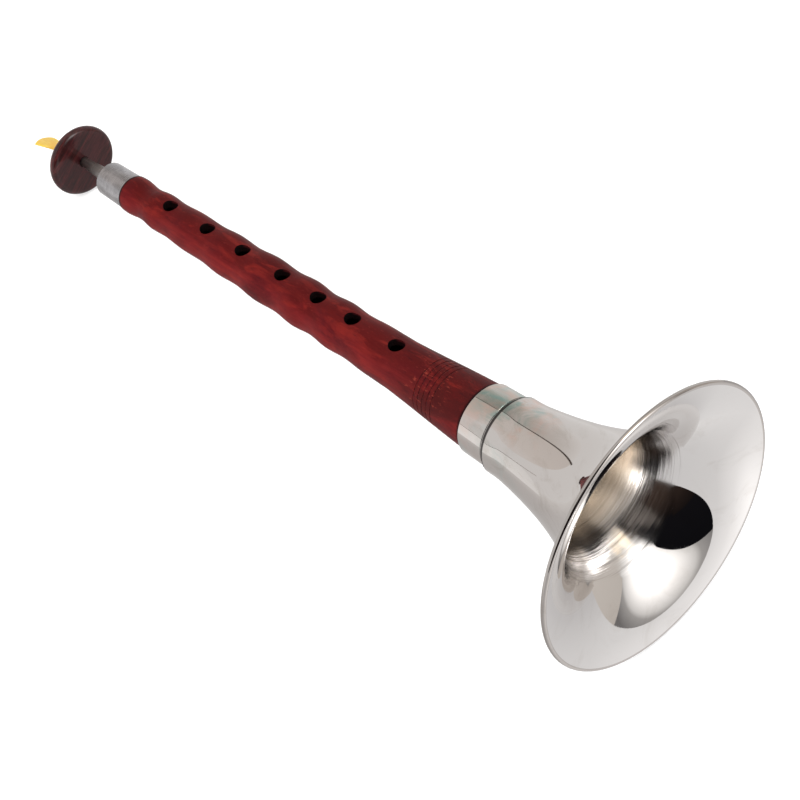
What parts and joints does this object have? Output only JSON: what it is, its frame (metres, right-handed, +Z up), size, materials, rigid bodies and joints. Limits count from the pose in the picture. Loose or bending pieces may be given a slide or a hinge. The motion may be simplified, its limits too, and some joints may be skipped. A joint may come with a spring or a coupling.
{
  "type": "suona",
  "caption": "Suona: a scalloped conical rosewood pipe with finger holes, a flared spun metal bell, metal ferrules, a tapered bocal, an air disc and a fan-shaped reed.",
  "frame": {"origin": "middle of the part's footprint, on the surface that it lies on", "axes": "+X towards the bell, -X towards the reed, +Z up through the finger holes; the bore slopes 6.6 degrees down towards the reed, so that the bell's rim and the air disc touch the surface"},
  "size_m": [0.4212, 0.1248, 0.1241],
  "materials": {
    "rosewood": "mottled red-brown hardwood, oiled and polished",
    "dark_wood": "dark purple-brown hardwood, polished",
    "bell_metal": "nickel plate, mirror polish, with spun lines in the throat",
    "ferrule_metal": "nickel plate, mirror polish",
    "brushed_metal": "brushed, dull grey",
    "cork": "pale cork, sanded",
    "thread": "waxed cotton thread, wound close",
    "cane": "shaved reed cane, satin",
    "copper_wire": "drawn copper wire"
  },
  "bodies": {
    "pipe": {"pipe": "rosewood", "lower_ferrule": "ferrule_metal", "top_ferrule": "brushed_metal"},
    "bell": {"bell": "bell_metal", "bell_cork": "cork"},
    "bocal_lapping": {"bocal_lapping": "thread"},
    "bocal": {"bocal": "brushed_metal"},
    "air_disc": {"air_disc": "dark_wood"},
    "reed": {"reed": "cane", "reed_binding": "copper_wire"}
  },
  "joints": [
    {"name": "bell_slide", "type": "slide", "parent": "pipe", "child": "bell", "axis": [0.9934, 0, 0.1143], "range_m": [0, 0.03]},
    {"name": "bocal_slide", "type": "slide", "parent": "pipe", "child": "bocal_lapping", "axis": [-0.9934, 0, -0.1143], "range_m": [0, 0.024]},
    {"name": "bocal_turn", "type": "hinge", "parent": "bocal_lapping", "child": "bocal", "pos_m": [-0.1542, 0, 0.021], "axis": [-0.9934, 0, -0.1143], "continuous": true},
    {"name": "disc_slide", "type": "slide", "parent": "bocal", "child": "air_disc", "axis": [-0.9934, 0, -0.1143], "range_m": [0, 0.0033]},
    {"name": "reed_slide", "type": "slide", "parent": "bocal", "child": "reed", "axis": [-0.9934, 0, -0.1143], "range_m": [0, 0.01]}
  ]
}
